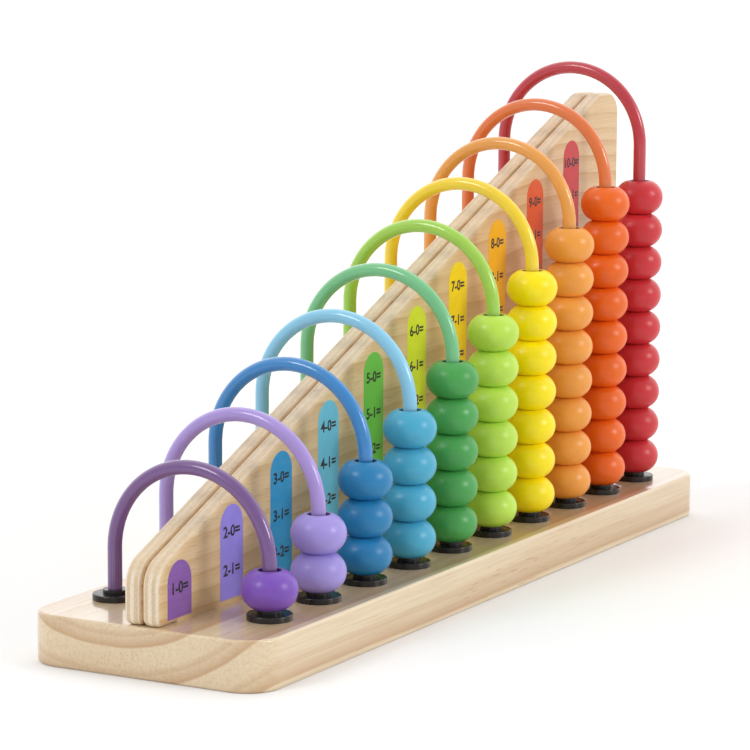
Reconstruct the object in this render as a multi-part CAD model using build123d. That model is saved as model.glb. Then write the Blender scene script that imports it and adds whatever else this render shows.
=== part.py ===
from build123d import *
import os

# A wooden counting frame: ten arched rods stand across a plank, each a bead taller than the last,
# with one to ten beads on them, and a pair of sloping number boards runs between the rods' legs.
#
# Frame: origin at the middle of the base's underside, +Z up, +X from the one-bead column to the
# ten-bead column. The beads stand on the -Y side, which is the front.

# ---- Driving dimensions, in millimetres ----

COLUMNS = 10
COLUMN_SPACING = 38.0

BASE_LENGTH = 416.6
BASE_WIDTH = 108.6
BASE_THICKNESS = 20.6
BASE_CORNER_RADIUS = 14.5
BASE_EDGE_RADIUS = 1.3

ROD_DIAMETER = 5.9
ARCH_RADIUS = 35.8              # to the rod's centre line, so also half the span of its legs
FIRST_ARCH_CENTRE = 41.3        # height of the shortest rod's arch centre
ROD_DEPTH = 14.0                # how far the rod's ends go below the top of the base

BEAD_DIAMETER = 22.6
BEAD_PITCH = 15.52              # each rod is one bead taller than the last
BEAD_GAP = 0.04
BEAD_HOLE_DIAMETER = 8.8
BEAD_END_DIAMETER = 11.6        # the flat ring at each end of a bead
BEAD_HOLE_ROUNDING = 0.5
SINGLE_BEADS = 4                # beads at the top of a stack that are pieces of their own

FLANGE_DIAMETER = 18.2
FLANGE_HEIGHT = 2.5
FLANGE_ROUNDING = 0.5
COLLAR_DIAMETER = 9.8
SEAT_HEIGHT = 4.1               # the top of the collar, where the lowest bead sits
SPIGOT_DIAMETER = 9.0
SPIGOT_FLOOR = 1.2              # plastic left below the rod's end

BOARD_THICKNESS = 8.2
BOARD_INSET = 1.0               # from each end of the base
BOARD_SLOPE = 0.406             # rise of the sloping edge, per length
BOARD_HEIGHT_AT_FIRST_ROD = 58.4
BOARD_TOP = 203.6
BOARD_LOW_CORNER_RADIUS = 12.0
BOARD_HIGH_CORNER_RADIUS = 10.0
BOARD_CREST_RADIUS = 14.0
BOARD_FOOT_RADIUS = 3.4         # of the bottom corners, where the board overhangs its tongue
BOARD_EDGE_ROUNDING = 2.6
TENON_DEPTH = 8.0
TENON_INSET = 13.0              # of the tenon's ends from the board's ends
GROOVE_CLEARANCE = 0.1

SCREW_DIAMETER = 3.0
SCREW_HEAD_DIAMETER = 7.0
SCREW_HEAD_RECESS = 1.0
SCREW_LENGTH = 22.0
SCREW_POSITIONS = [-150, 0, 150]
DRIVE_WIDTH = 1.0
DRIVE_DEPTH = 0.8

FAR_BEAD_COLUMN = 9             # counted from 0: the tenth column keeps one bead on its back leg

# ---- Derived sizes ----

rod_radius = ROD_DIAMETER / 2
bead_radius = BEAD_DIAMETER / 2
bead_height = BEAD_PITCH - BEAD_GAP
spigot_depth = ROD_DEPTH + SPIGOT_FLOOR
seat_z = BASE_THICKNESS + SEAT_HEIGHT
board_low_x = -BASE_LENGTH / 2 + BOARD_INSET
board_high_x = BASE_LENGTH / 2 - BOARD_INSET


def column_x(column):
    return (column - (COLUMNS - 1) / 2) * COLUMN_SPACING


def arch_centre_z(column):
    return FIRST_ARCH_CENTRE + column * BEAD_PITCH


def slope_z(x):
    return BOARD_HEIGHT_AT_FIRST_ROD + BOARD_SLOPE * (x - column_x(0))


def beads_in_front(column):
    return column if column == FAR_BEAD_COLUMN else column + 1


# ---- Base: a plank with a groove for the boards and a hole for each foot ----

def make_base():
    plank = Box(
        BASE_LENGTH, BASE_WIDTH, BASE_THICKNESS, align=(Align.CENTER, Align.CENTER, Align.MIN)
    )
    plank = fillet(plank.edges().filter_by(Axis.Z), BASE_CORNER_RADIUS)
    rims = plank.faces().sort_by(Axis.Z)
    plank = fillet(rims[-1].edges() + rims[0].edges(), BASE_EDGE_RADIUS)

    groove_length = board_high_x - board_low_x - 2 * TENON_INSET + 2 * GROOVE_CLEARANCE
    groove_width = 2 * (BOARD_THICKNESS + GROOVE_CLEARANCE)
    groove = Box(
        groove_length, groove_width, TENON_DEPTH + GROOVE_CLEARANCE,
        align=(Align.CENTER, Align.CENTER, Align.MAX),
    )
    plank -= Pos(0, 0, BASE_THICKNESS) * groove

    foot_hole = Cylinder(
        SPIGOT_DIAMETER / 2, spigot_depth, align=(Align.CENTER, Align.CENTER, Align.MAX)
    )
    for column in range(COLUMNS):
        for side in (-1, 1):
            plank -= Pos(column_x(column), side * ARCH_RADIUS, BASE_THICKNESS) * foot_hole

    for place in screw_places():
        plank -= place * screw_hole()
    return plank


# ---- Number boards: two ply boards side by side, with a tongue along the bottom ----

def board_outline():
    crest_x = column_x(0) + (BOARD_TOP - BOARD_HEIGHT_AT_FIRST_ROD) / BOARD_SLOPE
    outline = FilletPolyline(
        [
            (board_low_x, BASE_THICKNESS),
            (board_low_x, slope_z(board_low_x)),
            (crest_x, BOARD_TOP),
            (board_high_x, BOARD_TOP),
            (board_high_x, BASE_THICKNESS),
        ],
        radius=[
            BOARD_FOOT_RADIUS,
            BOARD_LOW_CORNER_RADIUS,
            BOARD_CREST_RADIUS,
            BOARD_HIGH_CORNER_RADIUS,
            BOARD_FOOT_RADIUS,
        ],
        close=True,
    )
    return make_face(Plane.XZ * outline)


def make_board(side):
    # the outline lies on y = 0, where the two boards meet
    board = extrude(board_outline(), amount=BOARD_THICKNESS, dir=(0, side, 0))
    rims = board.faces().sort_by(Axis.Y)
    board = fillet(rims[0].edges() + rims[-1].edges(), BOARD_EDGE_ROUNDING)

    tenon_length = board_high_x - board_low_x - 2 * TENON_INSET
    tenon_top = BASE_THICKNESS + BOARD_EDGE_ROUNDING
    tenon = Box(
        tenon_length, BOARD_THICKNESS, TENON_DEPTH + BOARD_EDGE_ROUNDING,
        align=(Align.CENTER, Align.CENTER, Align.MAX),
    )
    board += Pos(0, side * BOARD_THICKNESS / 2, tenon_top) * tenon
    for place in screw_places():
        board -= place * screw_pilot()
    return board


# ---- Rods: a coated wire bent into an arch with two straight legs ----

def make_rod(column):
    x = column_x(column)
    foot_z = BASE_THICKNESS - ROD_DEPTH
    arch_z = arch_centre_z(column)
    front_foot = (x, -ARCH_RADIUS, foot_z)
    front_spring = (x, -ARCH_RADIUS, arch_z)
    crown = (x, 0, arch_z + ARCH_RADIUS)
    back_spring = (x, ARCH_RADIUS, arch_z)
    back_foot = (x, ARCH_RADIUS, foot_z)
    path = (
        Line(front_foot, front_spring)
        + ThreePointArc(front_spring, crown, back_spring)
        + Line(back_spring, back_foot)
    )
    section = Plane(origin=front_foot, z_dir=(0, 0, 1)) * Circle(rod_radius)
    return sweep(section, path=path)


# ---- Feet: a flange on the base, a collar under the lowest bead, a spigot in the base ----

def make_foot():
    flange = Cylinder(
        FLANGE_DIAMETER / 2, FLANGE_HEIGHT, align=(Align.CENTER, Align.CENTER, Align.MIN)
    )
    flange = fillet(flange.edges().sort_by(Axis.Z)[-1], FLANGE_ROUNDING)
    collar = Cylinder(
        COLLAR_DIAMETER / 2, SEAT_HEIGHT, align=(Align.CENTER, Align.CENTER, Align.MIN)
    )
    spigot = Cylinder(
        SPIGOT_DIAMETER / 2, spigot_depth, align=(Align.CENTER, Align.CENTER, Align.MAX)
    )
    bore = Cylinder(
        rod_radius, SEAT_HEIGHT + ROD_DEPTH, align=(Align.CENTER, Align.CENTER, Align.MIN)
    )
    return flange + collar + spigot - Pos(0, 0, -ROD_DEPTH) * bore


def make_feet(side):
    foot = make_foot()
    places = [Pos(column_x(c), side * ARCH_RADIUS, BASE_THICKNESS) for c in range(COLUMNS)]
    return Compound(children=[place * foot for place in places])


# ---- Beads: flattened balls with a flat ring at each end and a through hole ----

def make_bead():
    half = bead_height / 2
    hole = BEAD_HOLE_DIAMETER / 2
    end = BEAD_END_DIAMETER / 2
    side = ThreePointArc((end, 0, half), (bead_radius, 0, 0), (end, 0, -half))
    walls = Polyline((end, 0, -half), (hole, 0, -half), (hole, 0, half), (end, 0, half))
    bead = revolve(make_face(side + walls), axis=Axis.Z)
    mouths = bead.edges().filter_by(lambda edge: abs(edge.bounding_box().size.X - 2 * hole) < 0.01)
    return fillet(mouths.filter_by(GeomType.CIRCLE), BEAD_HOLE_ROUNDING)


def bead_place(column, level, side=-1):
    z = seat_z + BEAD_GAP + level * BEAD_PITCH + bead_height / 2
    return Pos(column_x(column), side * ARCH_RADIUS, z)


# ---- Screws: up through the base, three into each board's tongue ----

def screw_places():
    return [
        Pos(x, side * BOARD_THICKNESS / 2, 0) for x in SCREW_POSITIONS for side in (-1, 1)
    ]


def screw_head():
    height = (SCREW_HEAD_DIAMETER - SCREW_DIAMETER) / 2
    head = Cone(
        SCREW_HEAD_DIAMETER / 2, SCREW_DIAMETER / 2, height,
        align=(Align.CENTER, Align.CENTER, Align.MIN),
    )
    return Pos(0, 0, SCREW_HEAD_RECESS) * head


def screw_pilot():
    height = SCREW_HEAD_RECESS + SCREW_LENGTH
    return Cylinder(SCREW_DIAMETER / 2, height, align=(Align.CENTER, Align.CENTER, Align.MIN))


def screw_hole():
    recess = Cylinder(
        SCREW_HEAD_DIAMETER / 2, SCREW_HEAD_RECESS, align=(Align.CENTER, Align.CENTER, Align.MIN)
    )
    return recess + screw_head() + screw_pilot()


def make_screw():
    recess = Cylinder(
        SCREW_HEAD_DIAMETER / 2, SCREW_HEAD_RECESS, align=(Align.CENTER, Align.CENTER, Align.MIN)
    )
    screw = screw_head() + screw_pilot() - recess
    for turn in (0, 90):
        slot = Box(
            SCREW_HEAD_DIAMETER / 2, DRIVE_WIDTH, DRIVE_DEPTH,
            align=(Align.CENTER, Align.CENTER, Align.MIN),
        )
        screw -= Pos(0, 0, SCREW_HEAD_RECESS) * Rot(0, 0, turn) * slot
    return screw


def make_screws():
    screw = make_screw()
    return Compound(children=[place * screw for place in screw_places()])


# ---- Write one STEP file per piece ----

os.makedirs("parts", exist_ok=True)


def save(shape, name):
    export_step(shape, f"parts/{name}.step")


save(make_base(), "base_board")
save(make_board(-1), "front_number_board")
save(make_board(1), "back_number_board")
save(make_screws(), "board_screws")
save(make_feet(-1), "front_rod_feet")
save(make_feet(1), "back_rod_feet")

bead = make_bead()
for column in range(COLUMNS):
    count = beads_in_front(column)
    name = f"column_{column + 1:02d}"
    save(make_rod(column), f"{name}_rod")
    lower = max(0, count - SINGLE_BEADS)
    if lower == 1:
        save(bead_place(column, 0) * bead, f"{name}_bead_1")
    if lower > 1:
        stack = [bead_place(column, level) * bead for level in range(lower)]
        save(Compound(children=stack), f"{name}_lower_beads")
    for level in range(lower, count):
        save(bead_place(column, level) * bead, f"{name}_bead_{level + 1}")

save(bead_place(FAR_BEAD_COLUMN, 0, side=1) * bead, "column_10_bead_10")
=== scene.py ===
# %% [markdown]
# # A rainbow counting frame
# Ten arched rods stand on a pine plank, each one bead taller than the last, and two sloping plywood
# boards between their legs carry printed sums. The solids come from the CAD frame, so this script
# gives them their finishes and adds the printing. Loading the frame first keeps every size right.

# %% Load the frame
import math

import bmesh
import bpy
from mathutils import Matrix, Vector


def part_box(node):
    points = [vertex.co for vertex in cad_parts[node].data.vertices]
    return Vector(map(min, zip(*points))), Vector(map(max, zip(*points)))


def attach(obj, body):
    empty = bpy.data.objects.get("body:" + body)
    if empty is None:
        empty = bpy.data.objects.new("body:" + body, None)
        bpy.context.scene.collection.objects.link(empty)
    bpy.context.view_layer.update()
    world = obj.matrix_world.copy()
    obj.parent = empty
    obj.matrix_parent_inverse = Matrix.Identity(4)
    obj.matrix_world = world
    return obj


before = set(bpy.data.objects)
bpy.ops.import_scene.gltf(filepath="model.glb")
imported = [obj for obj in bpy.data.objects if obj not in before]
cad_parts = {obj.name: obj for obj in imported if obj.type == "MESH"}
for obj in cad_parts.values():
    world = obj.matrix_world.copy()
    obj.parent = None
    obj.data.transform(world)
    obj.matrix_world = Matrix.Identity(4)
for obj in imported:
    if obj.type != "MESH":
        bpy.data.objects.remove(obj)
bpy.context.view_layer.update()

# %% [markdown]
# ## Sizes that the printing and the patterns need
# The frame says where the boards, rods and beads are. Reading those boxes, and not typing the
# numbers again, means that the printing still fits if the wood is resized.

# %% Measure the wood, the rods and the beads
MM = 0.001
COLOURS = [
    "purple", "lilac", "blue", "light_blue", "green",
    "lime", "yellow", "light_orange", "orange", "red",
]
COLUMNS = len(COLOURS)

board_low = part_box("front_number_board")[0]
first_rod_low, first_rod_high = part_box("column_01_rod")
last_rod_low, last_rod_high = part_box("column_10_rod")
bead_low, bead_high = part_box("column_01_bead_1")

first_rod_x = (first_rod_low[0] + first_rod_high[0]) / 2
last_rod_x = (last_rod_low[0] + last_rod_high[0]) / 2
column_spacing = (last_rod_x - first_rod_x) / (COLUMNS - 1)
bead_axis_y = -(bead_low[1] + bead_high[1]) / 2
bead_pitch = (last_rod_high[2] - first_rod_high[2]) / (COLUMNS - 1)
board_face_y = -board_low[1]
for label, measure in (
    ("column spacing", column_spacing), ("bead pitch", bead_pitch),
    ("board face", board_face_y), ("bead axis", bead_axis_y),
):
    print(label, round(measure / MM, 2), "mm")

# %% [markdown]
# ## Camera
# A product picture of a long, low object is taken with a long lens from one end, a little above it,
# so the columns step up and away. The camera is turned by three angles: yaw about Z, pitch up or
# down, and a small roll. Building its axes from those angles keeps each of them plain to read.

# %% Place the camera
YAW, PITCH, ROLL = 28.866, -8.766, 0.305        # degrees
CAMERA_PLACE = (-1.2102, -0.6548, 0.3031)
FOCAL_LENGTH = 153.13                           # mm, over a sensor this wide:
SENSOR_WIDTH = 36
FARTHEST_SEEN = 100

yaw, pitch, roll = (math.radians(angle) for angle in (YAW, PITCH, ROLL))
look = Vector((math.cos(yaw) * math.cos(pitch), math.sin(yaw) * math.cos(pitch), math.sin(pitch)))
level_right = Vector((math.sin(yaw), -math.cos(yaw), 0))
level_up = level_right.cross(look)
right = level_right * math.cos(roll) + level_up * math.sin(roll)
up = level_up * math.cos(roll) - level_right * math.sin(roll)

lens = bpy.data.cameras.new("camera")
lens.sensor_width = SENSOR_WIDTH
lens.lens = FOCAL_LENGTH
lens.clip_end = FARTHEST_SEEN
camera = bpy.data.objects.new("camera", lens)
turn = Matrix((right, up, -look)).transposed().to_4x4()
camera.matrix_world = Matrix.Translation(CAMERA_PLACE) @ turn
bpy.context.scene.collection.objects.link(camera)
bpy.context.scene.camera = camera
print("camera is", round(camera.location.length, 3), "m from the middle of the base")

# %% [markdown]
# ## Studio
# Painted wood looks best in a white tent: a white floor and white surroundings for a soft, even
# light, brightest on the backdrop, which the lacquered base mirrors. Two soft lights, high on the
# left and lower on the right, show as two broad highlights on every bead. They are suns with a
# wide disc, because a sun lights a large floor evenly and a lamp leaves its far end grey.

# %% Light the studio
BACKDROP_DIRECTION = (0.86, 0.47, 0.2)
DIM_SIDE, BRIGHT_SIDE = 0.58, 1.48
DISC_WIDTH = 19                                 # degrees

bpy.context.scene.view_settings.view_transform = "Standard"

tent = bpy.data.worlds.new("white_tent")
tent.use_nodes = True
nodes, links = tent.node_tree.nodes, tent.node_tree.links
sky = nodes.new("ShaderNodeTexCoord")
towards_backdrop = nodes.new("ShaderNodeVectorMath")
towards_backdrop.operation = "DOT_PRODUCT"
towards_backdrop.inputs[1].default_value = Vector(BACKDROP_DIRECTION).normalized()
links.new(sky.outputs["Generated"], towards_backdrop.inputs[0])
brightness = nodes.new("ShaderNodeMapRange")
brightness.interpolation_type = "SMOOTHSTEP"
for name, value in (
    ("From Min", -0.4), ("From Max", 1.0), ("To Min", DIM_SIDE), ("To Max", BRIGHT_SIDE),
):
    brightness.inputs[name].default_value = value
links.new(towards_backdrop.outputs["Value"], brightness.inputs["Value"])
links.new(brightness.outputs["Result"], nodes["Background"].inputs["Strength"])
nodes["Background"].inputs["Color"].default_value = (1, 1, 1, 1)
bpy.context.scene.world = tent


def soft_light(name, direction, strength):
    glow = bpy.data.lights.new(name, "SUN")
    glow.angle = math.radians(DISC_WIDTH)
    glow.energy = strength
    light = bpy.data.objects.new(name, glow)
    light.matrix_world = Vector(direction).to_track_quat("Z", "Y").to_matrix().to_4x4()
    bpy.context.scene.collection.objects.link(light)
    print(name, "is", DISC_WIDTH, "degrees wide")


soft_light("soft_light_left", (-0.691, 0.323, 0.632), 0.8)
soft_light("soft_light_right", (0.140, -0.914, 0.413), 0.95)

# %% [markdown]
# ## Node helpers
# Materials are wired in code, and most of the wiring is the same few moves: add a node, set or
# link its inputs, and take its output. A few small helpers keep each recipe down to the lines
# that matter. An input given as a socket is linked, and any other value is set.

# %% Helpers for wiring nodes
def feed(tree, socket, value):
    if isinstance(value, bpy.types.NodeSocket):
        tree.links.new(value, socket)
    else:
        socket.default_value = value


def add(tree, kind, settings=None, **inputs):
    node = tree.nodes.new(kind)
    for name, value in (settings or {}).items():
        setattr(node, name, value)
    for name, value in inputs.items():
        feed(tree, node.inputs[name.replace("_", " ")], value)
    return node


def calc(tree, operation, *values):
    node = tree.nodes.new("ShaderNodeMath")
    node.operation = operation
    for place, value in enumerate(values):
        feed(tree, node.inputs[place], value)
    return node.outputs[0]


print("nodes can be added, fed and worked out")

# %% [markdown]
# Every pattern here is noise, or a distance, that a soft step turns into a mask. Stretching the
# position before the noise reads it draws the pattern out along the grain or down a rod.

# %% Helpers for masks and noise
def ramp(tree, value, low, high, to_low=0.0, to_high=1.0):
    node = add(
        tree, "ShaderNodeMapRange", {"interpolation_type": "SMOOTHSTEP"},
        Value=value, From_Min=low, From_Max=high, To_Min=to_low, To_Max=to_high,
    )
    return node.outputs["Result"]


def distance(tree, first, second):
    """How far a point is from a line, from its two steps away from it."""
    squares = [calc(tree, "POWER", step, 2.0) for step in (first, second)]
    return calc(tree, "SQRT", calc(tree, "ADD", *squares))


def stretched(tree, position, x, y, z):
    node = add(tree, "ShaderNodeVectorMath", {"operation": "MULTIPLY"})
    feed(tree, node.inputs[0], position)
    feed(tree, node.inputs[1], (x, y, z))
    return node.outputs[0]


def scaled(tree, position, amount):
    node = add(tree, "ShaderNodeVectorMath", {"operation": "SCALE"}, Scale=amount)
    feed(tree, node.inputs[0], position)
    return node.outputs[0]


def noise(tree, position, detail=2.0, roughness=0.5):
    return add(
        tree, "ShaderNodeTexNoise", Vector=position, Scale=1.0, Detail=detail, Roughness=roughness
    ).outputs["Fac"]


print("positions can be stretched and made into masks")

# %% [markdown]
# Colours are written as they look on a screen, like the code on a paint chip, and turned into the
# amounts of light that a shader mixes. Darker and paler shades are worked out from them.

# %% Helpers for colours
def tint(tree, amount, first, second):
    """A mix of two colours. The node's colour sockets are its inputs 6 and 7 and its output 2."""
    node = add(tree, "ShaderNodeMix", {"data_type": "RGBA"})
    feed(tree, node.inputs[0], amount)
    feed(tree, node.inputs[6], first)
    feed(tree, node.inputs[7], second)
    return node.outputs[2]


def paint_chip(code):
    """A colour as it looks on a screen, from six hexadecimal digits."""
    screen = [int(code[place:place + 2], 16) / 255 for place in (0, 2, 4)]
    light = [
        value / 12.92 if value <= 0.04045 else ((value + 0.055) / 1.055) ** 2.4
        for value in screen
    ]
    return (*light, 1)


def shaded(colour, share, lift=0.0):
    """The colour at a share of its strength, lifted evenly towards white."""
    return (*(value * share + lift for value in colour[:3]), 1)


print("white is", paint_chip("ffffff"))

# %% [markdown]
# Shader groups are made once and placed in each material with that material's own numbers. This
# helper makes an empty group with named sockets and hands back its two ends to wire between.

# %% Helpers for shader groups
def new_group(name, inputs, outputs):
    tree = bpy.data.node_groups.new(name, "ShaderNodeTree")
    for label, kind, start in inputs:
        socket = tree.interface.new_socket(
            name=label, in_out="INPUT", socket_type="NodeSocket" + kind
        )
        if start is not None:
            socket.default_value = start
    for label, kind in outputs:
        tree.interface.new_socket(name=label, in_out="OUTPUT", socket_type="NodeSocket" + kind)
    ends = tree.nodes.new("NodeGroupInput").outputs, tree.nodes.new("NodeGroupOutput").inputs
    return tree, *ends


def place_group(tree, group, **inputs):
    return add(tree, "ShaderNodeGroup", {"node_tree": group}, **inputs).outputs


print("groups can be made and placed")

# %% [markdown]
# A material starts from the Principled shader and the Object coordinates, which are the solid's
# own, so its pattern stays put when a bead moves. A fine relief goes in through a Bump node.

# %% Helpers for materials
def new_material(name):
    material = bpy.data.materials.new(name)
    material.use_nodes = True
    tree = material.node_tree
    position = tree.nodes.new("ShaderNodeTexCoord").outputs["Object"]
    return material, tree, position, tree.nodes["Principled BSDF"]


def raise_surface(tree, skin, height, depth):
    bump = add(tree, "ShaderNodeBump", Height=height, Distance=depth, Strength=1.0)
    tree.links.new(bump.outputs["Normal"], skin.inputs["Normal"])


def finish_node(name, material):
    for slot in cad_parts[name].material_slots:
        slot.material = material


print("materials can be made and given to the frame's nodes")

# %% [markdown]
# ## Growth rings
# Pine shows its rings as brown arcs on the end of a plank and as long stripes on its sides. Both
# come from one solid pattern: distance from the heart of the tree, which lies along the plank and
# above it. Each ring darkens slowly outwards and stops sharply, and some have a second, weaker
# line inside. A flat picture of grain wouldn't meet at the corners, and a solid one does.

# %% Group: growth rings
growth_rings, ring_in, ring_out = new_group(
    "growth_rings",
    [
        ("Position", "Vector", None), ("Heart Y", "Float", 0.0), ("Heart Z", "Float", 0.0),
        ("Ring Width", "Float", 0.01), ("First Ring", "Float", 0.0), ("Wander", "Float", 0.002),
        ("Sharpness", "Float", 4.0),
    ],
    [("Latewood", "Float"), ("Slow Change", "Float")],
)
split = add(growth_rings, "ShaderNodeSeparateXYZ", Vector=ring_in["Position"])
across = calc(growth_rings, "SUBTRACT", split.outputs["Y"], ring_in["Heart Y"])
above = calc(growth_rings, "SUBTRACT", split.outputs["Z"], ring_in["Heart Z"])
reach = distance(growth_rings, across, above)
slow = noise(growth_rings, stretched(growth_rings, ring_in["Position"], 5, 26, 26), 2.0, 0.4)
drift = calc(growth_rings, "MULTIPLY", calc(growth_rings, "SUBTRACT", slow, 0.5), ring_in["Wander"])
count = calc(
    growth_rings, "DIVIDE",
    calc(growth_rings, "SUBTRACT", calc(growth_rings, "ADD", reach, drift), ring_in["First Ring"]),
    ring_in["Ring Width"],
)
part_way = calc(growth_rings, "FRACT", count)
darkening = calc(growth_rings, "POWER", part_way, ring_in["Sharpness"])
sharp_end = ramp(growth_rings, part_way, 0.93, 1.0, 1.0, 0.0)
main_line = calc(growth_rings, "MULTIPLY", darkening, sharp_end)
weak_line = calc(
    growth_rings, "MULTIPLY",
    ramp(growth_rings, part_way, 0.45, 0.64), ramp(growth_rings, part_way, 0.66, 0.74, 0.45, 0.0),
)
latewood = calc(growth_rings, "MAXIMUM", main_line, weak_line)
growth_rings.links.new(latewood, ring_out["Latewood"])
growth_rings.links.new(slow, ring_out["Slow Change"])
print("growth rings:", len(growth_rings.nodes), "nodes")

# %% [markdown]
# ## Fibres and pores
# Close up, softwood is a bundle of long fibres with a few resin canals. Along the grain they are
# hair-fine streaks and short dark dashes, and on the end grain they are dots. Noise squeezed in
# two directions and stretched in the third gives both from the same nodes.

# %% Group: wood fibres
wood_fibres, fibre_in, fibre_out = new_group(
    "wood_fibres",
    [("Position", "Vector", None), ("Fineness", "Float", 1.0), ("Pore Size", "Float", 0.16)],
    [("Streaks", "Float"), ("Pores", "Float"), ("Clouds", "Float")],
)
sized = scaled(wood_fibres, fibre_in["Position"], fibre_in["Fineness"])
streaks = noise(wood_fibres, stretched(wood_fibres, sized, 22, 900, 900), 3.0, 0.6)
canals = add(
    wood_fibres, "ShaderNodeTexVoronoi", {"feature": "F1"},
    Vector=stretched(wood_fibres, sized, 55, 900, 900), Scale=1.0,
)
patches = noise(wood_fibres, stretched(wood_fibres, fibre_in["Position"], 9, 60, 60), 2.0, 0.5)
dot_edge = calc(wood_fibres, "ADD", fibre_in["Pore Size"], 0.12)
dots = ramp(
    wood_fibres, canals.outputs["Distance"], fibre_in["Pore Size"], dot_edge, 1.0, 0.0
)
pores = calc(wood_fibres, "MULTIPLY", dots, ramp(wood_fibres, patches, 0.42, 0.62))
wood_fibres.links.new(streaks, fibre_out["Streaks"])
wood_fibres.links.new(pores, fibre_out["Pores"])
wood_fibres.links.new(patches, fibre_out["Clouds"])
print("wood fibres:", len(wood_fibres.nodes), "nodes")

# %% [markdown]
# ## The pine base
# The base is one plank of fast-grown pine: pale wood with a few wide rings, sanded and finished
# with a clear lacquer that mirrors the rods near their feet. Rings and fibres tint the wood, and a
# coat over it gives the lacquer's shine without washing out the colour below.

# %% Material: lacquered pine
pine, tree, position, skin = new_material("lacquered_pine")
rings = place_group(
    tree, growth_rings, Position=position, Heart_Y=15.5 * MM, Heart_Z=93.9 * MM,
    Ring_Width=16.2 * MM, First_Ring=1.9 * MM, Wander=4 * MM, Sharpness=3.5,
)
fibres = place_group(tree, wood_fibres, Position=position, Fineness=1.0, Pore_Size=0.14)
wood = tint(tree, rings["Latewood"], paint_chip("e3cfad"), paint_chip("b98c5c"))
wood = tint(tree, ramp(tree, rings["Slow Change"], 0.3, 0.7, 0.0, 0.35), wood, paint_chip("d5ba91"))
wood = tint(tree, ramp(tree, fibres["Streaks"], 0.35, 0.75, 0.0, 0.32), wood, paint_chip("bc966d"))
wood = tint(tree, calc(tree, "MULTIPLY", fibres["Pores"], 0.55), wood, paint_chip("a8743f"))
feed(tree, skin.inputs["Base Color"], wood)
feed(tree, skin.inputs["Roughness"], ramp(tree, fibres["Streaks"], 0.2, 0.8, 0.34, 0.5))
feed(tree, skin.inputs["Coat Weight"], ramp(tree, fibres["Clouds"], 0.2, 0.8, 1.0, 0.85))
skin.inputs["Coat Roughness"].default_value = 0.1
raise_surface(tree, skin, fibres["Streaks"], 0.02 * MM)
finish_node("base_board", pine)
print(pine.name, "has", len(tree.nodes), "nodes")

# %% [markdown]
# ## Plywood
# Each number board is plywood: thin layers glued with their grain crossed. Its faces show long
# grain, and its rounded edges show the layers as light and dark lines. How deep a point lies
# between the board's two faces says which layer it is in, so the lines bend round every curve of
# the outline by themselves.

# %% Group: ply layers
LAYER_THICKNESS = 1.64 * MM
LAYER_WOBBLE = 0.12 * MM

ply_layers, ply_in, ply_out = new_group(
    "ply_layers",
    [
        ("Position", "Vector", None), ("Layer", "Float", LAYER_THICKNESS),
        ("Wobble", "Float", LAYER_WOBBLE),
    ],
    [("Crossed", "Float"), ("Glue", "Float"), ("Depth", "Float")],
)
split = add(ply_layers, "ShaderNodeSeparateXYZ", Vector=ply_in["Position"])
ripple = noise(ply_layers, stretched(ply_layers, ply_in["Position"], 60, 60, 60), 2.0, 0.5)
shift = calc(ply_layers, "MULTIPLY", calc(ply_layers, "SUBTRACT", ripple, 0.5), ply_in["Wobble"])
depth = calc(ply_layers, "ADD", calc(ply_layers, "ABSOLUTE", split.outputs["Y"]), shift)
layer = calc(ply_layers, "DIVIDE", depth, ply_in["Layer"])
pair = calc(ply_layers, "FRACT", calc(ply_layers, "DIVIDE", layer, 2.0))
starts = ramp(ply_layers, pair, 0.47, 0.53)
stops = ramp(ply_layers, pair, 0.94, 1.0, 1.0, 0.0)
crossed = calc(ply_layers, "MULTIPLY", starts, stops)
from_middle = calc(ply_layers, "SUBTRACT", calc(ply_layers, "FRACT", layer), 0.5)
glue = ramp(ply_layers, calc(ply_layers, "ABSOLUTE", from_middle), 0.455, 0.495)
ply_layers.links.new(crossed, ply_out["Crossed"])
ply_layers.links.new(glue, ply_out["Glue"])
ply_layers.links.new(depth, ply_out["Depth"])
print("ply layers:", len(ply_layers.nodes), "nodes")

# %% [markdown]
# The board's material lays one veneer of wide, soft grain on its faces and the layers on its
# edges. The surface's own direction tells them apart: a face looks along Y, and an edge doesn't.
# Where the two boards meet, painted shade darkens the rounding to a warm brown line. The slope on
# top shows its layers less, and painted shade gives its upward-facing surface a deeper tone.

# %% Material: lacquered plywood
ply, tree, position, skin = new_material("lacquered_plywood")
rings = place_group(
    tree, growth_rings, Position=position, Heart_Y=-55 * MM, Heart_Z=-90 * MM,
    Ring_Width=8.5 * MM, First_Ring=2 * MM, Wander=30 * MM, Sharpness=2.2,
)
fibres = place_group(tree, wood_fibres, Position=position, Fineness=1.1, Pore_Size=0.12)
layers = place_group(tree, ply_layers, Position=position)
normal = tree.nodes["Texture Coordinate"].outputs["Normal"]
facing = add(tree, "ShaderNodeSeparateXYZ", Vector=normal)
on_edge = ramp(tree, calc(tree, "ABSOLUTE", facing.outputs["Y"]), 0.62, 0.9, 1.0, 0.0)
face_wood = tint(tree, rings["Latewood"], paint_chip("dcbf90"), paint_chip("c89e68"))
pale_patch = ramp(tree, rings["Slow Change"], 0.35, 0.7, 0.0, 0.4)
face_wood = tint(tree, pale_patch, face_wood, paint_chip("dcc296"))
on_slope = ramp(tree, facing.outputs["Z"], 0.3, 0.6)
crossed = calc(tree, "MULTIPLY", layers["Crossed"], ramp(tree, on_slope, 0.0, 1.0, 1.0, 0.55))
edge_wood = tint(tree, crossed, paint_chip("ebdec9"), paint_chip("d9c09b"))
# Painted shade: the upward-facing slope is tinted towards a deeper brown.
edge_wood = tint(tree, calc(tree, "MULTIPLY", on_slope, 0.45), edge_wood, paint_chip("cfb283"))
glue_line = calc(tree, "MULTIPLY", layers["Glue"], 0.1)
edge_wood = tint(tree, glue_line, edge_wood, paint_chip("b98c5c"))
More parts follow.
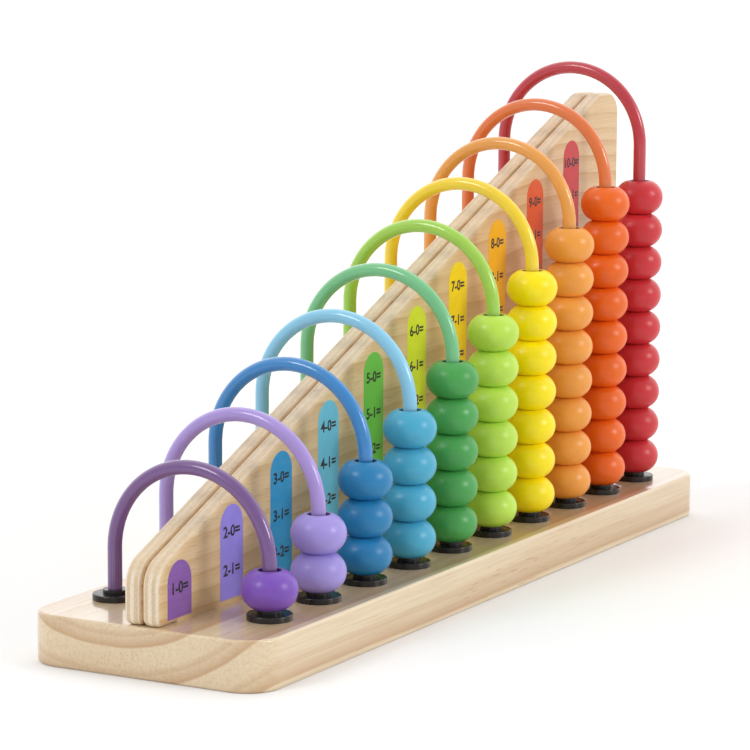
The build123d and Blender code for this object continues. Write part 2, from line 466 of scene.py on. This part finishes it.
# Painted shade: the rounding is darkened towards brown where the two boards meet in their groove.
painted_groove_shade = ramp(tree, layers["Depth"], 0.3 * MM, 1.5 * MM, 0.8, 0.0)
edge_wood = tint(tree, painted_groove_shade, edge_wood, paint_chip("b07f4e"))
wood = tint(tree, on_edge, face_wood, edge_wood)
wood = tint(tree, ramp(tree, fibres["Streaks"], 0.35, 0.75, 0.0, 0.25), wood, paint_chip("b98f63"))
wood = tint(tree, calc(tree, "MULTIPLY", fibres["Pores"], 0.3), wood, paint_chip("8c5f36"))
feed(tree, skin.inputs["Base Color"], wood)
feed(tree, skin.inputs["Roughness"], ramp(tree, fibres["Streaks"], 0.2, 0.8, 0.4, 0.58))
feed(tree, skin.inputs["Coat Weight"], ramp(tree, fibres["Clouds"], 0.2, 0.8, 0.35, 0.2))
skin.inputs["Coat Roughness"].default_value = 0.25
raise_surface(tree, skin, calc(tree, "ADD", fibres["Streaks"], layers["Glue"]), 0.03 * MM)
for name in ("front_number_board", "back_number_board"):
    finish_node(name, ply)
print(ply.name, "has", len(tree.nodes), "nodes")

# %% [markdown]
# ## Where a point is on its bead
# Ten stacks of equal beads stand on an even grid, so a point's place within its own bead comes
# from arithmetic: the remainder of x by the column spacing, and of z by the bead's height. Wear at
# the mouths and the marks of the lathe both need it.

# %% Group: place on a bead
bead_place, place_in, place_out = new_group(
    "bead_place", [("Position", "Vector", None)], [("From Axis", "Float"), ("Height", "Float")]
)
split = add(bead_place, "ShaderNodeSeparateXYZ", Vector=place_in["Position"])
from_first = calc(bead_place, "SUBTRACT", split.outputs["X"], first_rod_x)
columns_along = calc(bead_place, "DIVIDE", from_first, column_spacing)
nearest = calc(bead_place, "ROUND", columns_along)
part_over = calc(bead_place, "SUBTRACT", columns_along, nearest)
off_x = calc(bead_place, "MULTIPLY", part_over, column_spacing)
off_y = calc(bead_place, "SUBTRACT", calc(bead_place, "ABSOLUTE", split.outputs["Y"]), bead_axis_y)
above_foot = calc(bead_place, "SUBTRACT", split.outputs["Z"], bead_low[2])
beads_up = calc(bead_place, "DIVIDE", above_foot, bead_pitch)
bead_place.links.new(distance(bead_place, off_x, off_y), place_out["From Axis"])
bead_place.links.new(calc(bead_place, "FRACT", beads_up), place_out["Height"])
print("lowest bead starts at", round(bead_low[2] / MM, 2), "mm")

# %% [markdown]
# ## A coat of paint
# Sprayed paint is never a flat colour: it lies in a faint orange-peel texture, is a little deeper
# in some places than in others, and catches specks of dust. The group gives those three as plain
# values, and each material decides how strongly to use them.

# %% Group: sprayed coat
sprayed_coat, coat_in, coat_out = new_group(
    "sprayed_coat",
    [("Position", "Vector", None), ("Peel", "Float", 700.0), ("Patches", "Float", 90.0)],
    [("Peel", "Float"), ("Depth", "Float"), ("Specks", "Float")],
)
for size, result, detail in (("Peel", "Peel", 1.0), ("Patches", "Depth", 2.0)):
    sized = scaled(sprayed_coat, coat_in["Position"], coat_in[size])
    sprayed_coat.links.new(noise(sprayed_coat, sized, detail, 0.5), coat_out[result])
dust = add(
    sprayed_coat, "ShaderNodeTexVoronoi", {"feature": "F1"},
    Vector=stretched(sprayed_coat, coat_in["Position"], 260, 260, 260), Scale=1.0,
)
specks = ramp(sprayed_coat, dust.outputs["Distance"], 0.05, 0.09, 1.0, 0.0)
sprayed_coat.links.new(specks, coat_out["Specks"])
print("sprayed coat:", len(sprayed_coat.nodes), "nodes")

# %% [markdown]
# ## Beads
# The beads are turned from hardwood and dipped in satin paint. The lathe leaves faint rings that
# still show through it, and the paint rubs thin and dull round the mouths, where the beads knock
# together. Inside the hole, painted shade darkens each colour to a deep, greyer tone.

# %% Material: bead paint
BEAD_PAINT = [
    "7b50b6", "a293dc", "237eb3", "4aaacb", "49a150",
    "bce252", "ffe604", "ee9f42", "ec6814", "cd3239",
]
BORE_RADIUS = 4.5 * MM
MOUTH_RADIUS = 6.4 * MM
LATHE_RIPPLE = 150.0            # radians of ripple over a bead's height
DUST = (1, 1, 1, 1)


def bead_paint(name, colour):
    paint, tree, position, skin = new_material(name)
    coat = place_group(tree, sprayed_coat, Position=position, Peel=900.0, Patches=120.0)
    place = place_group(tree, bead_place, Position=position)
    thicker = ramp(tree, coat["Depth"], 0.3, 0.7, 0.0, 0.35)
    shade = tint(tree, thicker, colour, shaded(colour, 0.82))
    mouth = ramp(tree, place["From Axis"], MOUTH_RADIUS - 1.2 * MM, MOUTH_RADIUS, 1.0, 0.0)
    rubbed = calc(tree, "MULTIPLY", mouth, ramp(tree, coat["Depth"], 0.42, 0.62, 0.05, 0.45))
    shade = tint(tree, rubbed, shade, shaded(colour, 0.85, 0.12))
    # Painted shade: the bore is painted at a quarter of the colour's strength.
    painted_bore_shade = ramp(tree, place["From Axis"], BORE_RADIUS, BORE_RADIUS + 0.5 * MM, 0.85, 0.0)
    shade = tint(tree, painted_bore_shade, shade, shaded(colour, 0.25))
    shade = tint(tree, calc(tree, "MULTIPLY", coat["Specks"], 0.03), shade, DUST)
    feed(tree, skin.inputs["Base Color"], shade)
    satin = ramp(tree, coat["Depth"], 0.3, 0.7, 0.3, 0.37)
    duller = calc(tree, "MULTIPLY", rubbed, 0.2)
    feed(tree, skin.inputs["Roughness"], calc(tree, "ADD", satin, duller))
    skin.inputs["Specular IOR Level"].default_value = 0.4
    lathe = calc(tree, "SINE", calc(tree, "MULTIPLY", place["Height"], LATHE_RIPPLE))
    relief = calc(tree, "ADD", coat["Peel"], calc(tree, "MULTIPLY", lathe, 0.08))
    raise_surface(tree, skin, relief, 0.02 * MM)
    return paint


print(len(BEAD_PAINT), "bead colours")

# %% [markdown]
# A column's beads are found by their names, and all of them take that column's colour.

# %% Paint the beads
def column_nodes(column, kind):
    start = f"column_{column + 1:02d}_"
    return [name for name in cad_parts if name.startswith(start) and kind in name]


for column, colour in enumerate(COLOURS):
    paint = bead_paint(f"bead_paint_{colour}", paint_chip(BEAD_PAINT[column]))
    for name in column_nodes(column, "bead"):
        finish_node(name, paint)
    print(paint.name, "on", len(column_nodes(column, "bead")), "nodes")

# %% [markdown]
# ## Rods
# Each rod is bent steel wire with a thick gloss coating, smooth enough to carry one long line of
# light down its length. Beads running along the legs leave the coating very slightly scuffed, so
# its roughness changes in long thin lines there and stays even over the arch.

# %% Material: rod coating
ROD_COATING = [
    "6f4a88", "a78fd6", "2781c4", "86c8e6", "72c084",
    "a0d046", "f8d41c", "ea9e40", "e27230", "bc2838",
]
SCUFFS_FADE = 6 * MM            # either side of where the leg turns into the arch


def rod_coating(name, colour, arch_z):
    coating, tree, position, skin = new_material(name)
    coat = place_group(tree, sprayed_coat, Position=position, Peel=420.0, Patches=60.0)
    thicker = ramp(tree, coat["Depth"], 0.3, 0.7, 0.0, 0.4)
    shade = tint(tree, thicker, colour, shaded(colour, 0.85))
    height = add(tree, "ShaderNodeSeparateXYZ", Vector=position).outputs["Z"]
    leg = ramp(tree, height, arch_z - SCUFFS_FADE, arch_z + SCUFFS_FADE, 1.0, 0.0)
    lines = noise(tree, stretched(tree, position, 2200, 2200, 30), 2.0, 0.6)
    scuffs = calc(tree, "MULTIPLY", leg, ramp(tree, lines, 0.5, 0.72))
    shade = tint(tree, calc(tree, "MULTIPLY", scuffs, 0.05), shade, DUST)
    feed(tree, skin.inputs["Base Color"], shade)
    gloss = ramp(tree, coat["Depth"], 0.3, 0.7, 0.34, 0.4)
    duller = calc(tree, "MULTIPLY", scuffs, 0.06)
    feed(tree, skin.inputs["Roughness"], calc(tree, "ADD", gloss, duller))
    skin.inputs["Coat Weight"].default_value = 0.8
    skin.inputs["Coat Roughness"].default_value = 0.09
    raise_surface(tree, skin, coat["Peel"], 0.01 * MM)
    return coating


print(len(ROD_COATING), "rod colours")

# %% [markdown]
# A rod's arch is half a circle as wide as the rod is deep, so it starts half of that below the
# rod's top. That height is where the legs end and the scuffs fade out.

# %% Coat the rods
for column, colour in enumerate(COLOURS):
    name = f"column_{column + 1:02d}_rod"
    rod_low, rod_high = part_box(name)
    arch_z = rod_high[2] - (rod_high[1] - rod_low[1]) / 2
    coating = rod_coating(f"rod_coating_{colour}", paint_chip(ROD_COATING[column]), arch_z)
    finish_node(name, coating)
    print(coating.name, "bends at", round(arch_z / MM, 1), "mm")

# %% [markdown]
# ## Feet and screws
# The feet are moulded in glossy black plastic, which picks up dust and fine scratches. The screws
# are zinc plated, so they are grey, slightly mottled metal. Both use the sprayed coat's values at
# their own scale: dust is dust on either.

# %% Materials: black plastic and zinc
plastic, tree, position, skin = new_material("black_moulded_plastic")
coat = place_group(tree, sprayed_coat, Position=position, Peel=1500.0, Patches=250.0)
scratches = noise(tree, stretched(tree, position, 300, 300, 2600), 2.0, 0.7)
shade = tint(tree, ramp(tree, coat["Depth"], 0.35, 0.7), paint_chip("161515"), paint_chip("232120"))
shade = tint(tree, calc(tree, "MULTIPLY", coat["Specks"], 0.25), shade, paint_chip("8a8784"))
feed(tree, skin.inputs["Base Color"], shade)
feed(tree, skin.inputs["Roughness"], ramp(tree, scratches, 0.35, 0.75, 0.22, 0.38))
raise_surface(tree, skin, coat["Peel"], 0.01 * MM)
for name in ("front_rod_feet", "back_rod_feet"):
    finish_node(name, plastic)

zinc, tree, position, skin = new_material("zinc_plate")
coat = place_group(tree, sprayed_coat, Position=position, Peel=2500.0, Patches=800.0)
shade = tint(tree, coat["Depth"], paint_chip("b9b7ae"), paint_chip("d6d4cb"))
feed(tree, skin.inputs["Base Color"], shade)
feed(tree, skin.inputs["Roughness"], ramp(tree, coat["Depth"], 0.3, 0.7, 0.28, 0.42))
skin.inputs["Metallic"].default_value = 1.0
raise_surface(tree, skin, coat["Peel"], 0.01 * MM)
finish_node("board_screws", zinc)
print(plastic.name, "and", zinc.name, "assigned")

# %% [markdown]
# ## Printed strips
# Every column has an upright strip of colour printed on the board beside it, round at the top and
# flat at the bottom, tall enough for one sum per bead. Print has almost no thickness, so each
# strip is a plate thinner than paper, sunk a little into the board. One point spun through half a
# turn makes the round top, and its edges pulled down to the bottom line make the plate.

# %% Build one strip
INK_THICKNESS = 0.06 * MM
INK_SUNK = 0.05 * MM
STRIP_WIDTH = 17.15 * MM
STRIP_SPACING = 38.5 * MM
STRIP_FIRST_X = -192.5 * MM
STRIP_BOTTOM = 22.6 * MM
STRIP_FIRST_TOP = 45.15 * MM
STRIP_STEP = 15.36 * MM
ROUND_TOP_STEPS = 28


def strip_x(column):
    return STRIP_FIRST_X + STRIP_SPACING * column


def corners_of(geometry):
    return [corner for corner in geometry if isinstance(corner, bmesh.types.BMVert)]


def as_mesh(shape, name):
    mesh = bpy.data.meshes.new(name)
    shape.to_mesh(mesh)
    shape.free()
    return mesh


def strip_mesh(column, side):
    half = STRIP_WIDTH / 2
    spring = STRIP_FIRST_TOP + STRIP_STEP * column - half
    inner_y = side * (board_face_y - INK_SUNK)
    plate = bmesh.new()
    start = bmesh.ops.create_vert(plate, co=(strip_x(column) + half, inner_y, spring))["vert"]
    bmesh.ops.spin(
        plate, geom=start, cent=(strip_x(column), inner_y, spring), axis=(0, -1, 0),
        dvec=(0, 0, 0), angle=math.pi, steps=ROUND_TOP_STEPS, use_merge=False, use_duplicate=False,
    )
    pulled = bmesh.ops.extrude_edge_only(plate, edges=plate.edges[:])["geom"]
    for corner in corners_of(pulled):
        corner.co.z = STRIP_BOTTOM
    raised = bmesh.ops.extrude_face_region(plate, geom=plate.faces[:])["geom"]
    lift = (0, side * (INK_THICKNESS + INK_SUNK), 0)
    bmesh.ops.translate(plate, verts=corners_of(raised), vec=lift)
    bmesh.ops.recalc_face_normals(plate, faces=plate.faces)
    return as_mesh(plate, "strip")


trial = strip_mesh(0, -1)
print("one strip has", len(trial.polygons), "faces")
bpy.data.meshes.remove(trial)

# %% [markdown]
# Printing ink is thin enough for the wood to show through as faint streaks, and it dries to a soft
# sheen. The ink material is the wood's own fibre pattern at low strength over the strip's colour.

# %% Materials: printing inks
STRIP_INK = [
    "885caa", "9586e2", "2f93c4", "6cbfd6", "64bc44",
    "d4e128", "f8d800", "f4b806", "de5818", "c8262f",
]


def printing_ink(name, colour, show_through):
    ink, tree, position, skin = new_material(name)
    fibres = place_group(tree, wood_fibres, Position=position, Fineness=1.1, Pore_Size=0.12)
    coat = place_group(tree, sprayed_coat, Position=position, Peel=1200.0, Patches=200.0)
    thicker = ramp(tree, coat["Depth"], 0.3, 0.7, 0.0, 0.4)
    shade = tint(tree, thicker, colour, shaded(colour, 0.86))
    streak = ramp(tree, fibres["Streaks"], 0.45, 0.8, 0.0, show_through)
    shade = tint(tree, streak, shade, paint_chip("e2c8a4"))
    feed(tree, skin.inputs["Base Color"], shade)
    feed(tree, skin.inputs["Roughness"], ramp(tree, fibres["Streaks"], 0.2, 0.8, 0.4, 0.55))
    raise_surface(tree, skin, fibres["Streaks"], 0.02 * MM)
    return ink


strip_inks = [
    printing_ink(f"strip_ink_{colour}", paint_chip(STRIP_INK[column]), 0.07)
    for column, colour in enumerate(COLOURS)
]
black_ink = printing_ink("black_ink", paint_chip("17161a"), 0.06)
print(len(strip_inks), "strip inks and", black_ink.name)

# %% [markdown]
# The front strips carry take-away sums and the back strips carry adding sums. A strip and its
# material ride on the frame, because print moves with the board that it is on.

# %% Print the strips
def add_piece(name, mesh, material):
    piece = bpy.data.objects.new(name, mesh)
    mesh.materials.append(material)
    bpy.context.scene.collection.objects.link(piece)
    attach(piece, "frame")
    return piece


SIDES = {"front": -1, "back": 1}
for side_name, side in SIDES.items():
    for column, colour in enumerate(COLOURS):
        add_piece(
            f"{side_name}_strip_{column + 1:02d}", strip_mesh(column, side),
            strip_inks[column],
        )
print(COLUMNS * len(SIDES), "strips printed")

# %% [markdown]
# ## Sums
# The sums are set in a bold, upright figure, one above another, a bead's height apart, so the
# number of sums on a strip is the number of beads in its column. Text starts as a curve: its
# outline is made bolder, it is turned into a mesh, and only then is it stood up against the
# board. A hair of thickness keeps the print from flickering against the strip below.

# %% Set a sum in type
FIGURE_HEIGHT = 4.6 * MM
FIGURE_WIDTH = 1.05             # times the font's own width
FIGURE_BOLDNESS = 0.028         # of the font's size
FIGURE_SMOOTHNESS = 3           # steps in each curve of an outline
SAME_POINT = 1e-5               # of the font's size
SUM_FIRST_Z = 34.6 * MM
SUM_STEP = 15.4 * MM
CAPITAL_SHARE = 0.73            # of the font's size that a figure is tall
SUM_THICKNESS = 0.03 * MM


def sum_outline(words):
    text = bpy.data.curves.new("sum", "FONT")
    text.body = words
    text.align_x = "CENTER"
    text.offset = FIGURE_BOLDNESS
    text.resolution_u = FIGURE_SMOOTHNESS
    holder = bpy.data.objects.new("sum", text)
    bpy.context.scene.collection.objects.link(holder)
    bpy.context.view_layer.update()
    finished = holder.evaluated_get(bpy.context.evaluated_depsgraph_get())
    mesh = bpy.data.meshes.new_from_object(finished)
    bpy.data.objects.remove(holder)
    bpy.data.curves.remove(text)
    return mesh


print("a figure is", round(FIGURE_HEIGHT / MM, 1), "mm tall")

# %% [markdown]
# A sum's flat outline is given its thickness, centred, brought to size, and then stood up, turned
# to face its side of the board and put in its row. Each move is made on the points themselves,
# so the finished piece's object stays at the origin.

# %% Stand a column's sums against the board
def standing_sum(column, side, row):
    sign = "-" if side < 0 else "+"
    outline = sum_outline(f"{column + 1}{sign}{column - row}=")
    line = bmesh.new()
    line.from_mesh(outline)
    bpy.data.meshes.remove(outline)
    bmesh.ops.remove_doubles(line, verts=line.verts, dist=SAME_POINT)
    raised = bmesh.ops.extrude_face_region(line, geom=line.faces[:])["geom"]
    size = FIGURE_HEIGHT / CAPITAL_SHARE
    bmesh.ops.translate(line, verts=line.verts, vec=(0, -CAPITAL_SHARE / 2, 0))
    bmesh.ops.scale(line, verts=line.verts, vec=(size * FIGURE_WIDTH, size, size))
    bmesh.ops.translate(line, verts=corners_of(raised), vec=(0, 0, SUM_THICKNESS * 2))
    bmesh.ops.recalc_face_normals(line, faces=line.faces)
    stand = Matrix.Rotation(math.radians(90), 4, "X")
    about = Matrix.Rotation(math.pi if side > 0 else 0, 4, "Z")
    print_y = side * (board_face_y + INK_THICKNESS - SUM_THICKNESS)
    place = Matrix.Translation((strip_x(column), print_y, SUM_FIRST_Z + SUM_STEP * row))
    bmesh.ops.transform(line, matrix=place @ about @ stand, verts=line.verts)
    return as_mesh(line, "line")


def sums_mesh(column, side):
    sheet = bmesh.new()
    for row in range(column + 1):
        line = standing_sum(column, side, row)
        sheet.from_mesh(line)
        bpy.data.meshes.remove(line)
    return as_mesh(sheet, "sums")


print("sums are", round(SUM_STEP / MM, 1), "mm apart")

# %% [markdown]
# All the sums of one strip are one piece, since they are printed in one go. They take the black
# ink; the feet are the only other black finish on the frame.

# %% Print the sums
for side_name, side in SIDES.items():
    for column in range(COLUMNS):
        piece = add_piece(
            f"{side_name}_sums_{column + 1:02d}", sums_mesh(column, side), black_ink
        )
    print(side_name, "sums on the tallest strip:", len(piece.data.polygons), "faces")

# %% [markdown]
# ## Floor
# A plain white sheet, wide enough to fill the picture, catches a faint shadow round the base.
# It glows a little, as backlit paper does, so that it comes out pure white round a soft shadow.
# It only holds the object up for its picture, and it doesn't belong to the model.

# %% Lay the floor
FLOOR_REACH = 20                # m, from the middle to an edge
FLOOR_GLOW = 0.07

paper, tree, position, skin = new_material("white_paper")
grain = noise(tree, stretched(tree, position, 3, 3, 3), 2.0, 0.5)
feed(tree, skin.inputs["Base Color"], tint(tree, grain, paint_chip("f1f1f1"), paint_chip("ededed")))
skin.inputs["Roughness"].default_value = 0.9
skin.inputs["Specular IOR Level"].default_value = 0.0
skin.inputs["Emission Color"].default_value = (1, 1, 1, 1)
seen = tree.nodes.new("ShaderNodeLightPath").outputs["Is Camera Ray"]
feed(tree, skin.inputs["Emission Strength"], calc(tree, "MULTIPLY", seen, FLOOR_GLOW))

sheet = bmesh.new()
bmesh.ops.create_grid(sheet, x_segments=8, y_segments=8, size=FLOOR_REACH)
floor = bpy.data.objects.new("floor", as_mesh(sheet, "floor"))
floor.data.materials.append(paper)
bpy.context.scene.collection.objects.link(floor)
print("floor is", round(floor.dimensions.x), "m wide")
